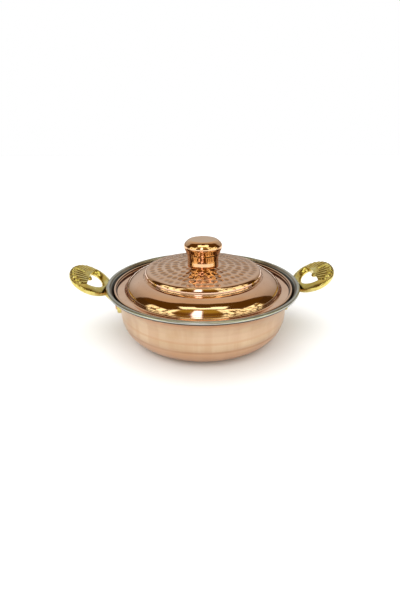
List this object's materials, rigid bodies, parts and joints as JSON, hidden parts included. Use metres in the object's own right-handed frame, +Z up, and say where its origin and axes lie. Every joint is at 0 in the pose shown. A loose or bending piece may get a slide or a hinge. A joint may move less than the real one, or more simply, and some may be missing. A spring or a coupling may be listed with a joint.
{
  "type": "copper saucepan with lid",
  "caption": "Shallow round copper pan, tinned inside, with cast brass side handles and a domed copper lid with a hammered top and a spun knob.",
  "frame": {"origin": "centre of the pan's flat base, on the surface it stands on", "axes": "+Z up along the axis of the pan and lid, +X through the right handle, +Y to the back"},
  "size_m": [0.2742, 0.2, 0.1018],
  "materials": {
    "pan_copper": "satin copper, faint turned rings",
    "lid_copper": "polished copper",
    "knob_copper": "polished copper",
    "rivet_copper": "dull copper",
    "cast_brass": "polished cast brass",
    "tin": "wiped tin",
    "plated_steel": "zinc plated"
  },
  "bodies": {
    "pan": {"pan_shell": "pan_copper", "pan_tin_lining": "tin", "handle_left": "cast_brass", "handle_right": "cast_brass", "rivet_left_front": "rivet_copper", "rivet_left_back": "rivet_copper", "rivet_right_front": "rivet_copper", "rivet_right_back": "rivet_copper"},
    "lid": {"lid_shell": "lid_copper", "lid_tin_lining": "tin", "knob_base": "knob_copper", "knob_cap": "knob_copper", "knob_screw": "plated_steel", "knob_washer": "plated_steel", "knob_nut": "plated_steel"}
  },
  "joints": [
    {"name": "lid_lift", "type": "slide", "parent": "pan", "child": "lid", "axis": [0, 0, 1], "range_m": [0, 0.12]}
  ]
}
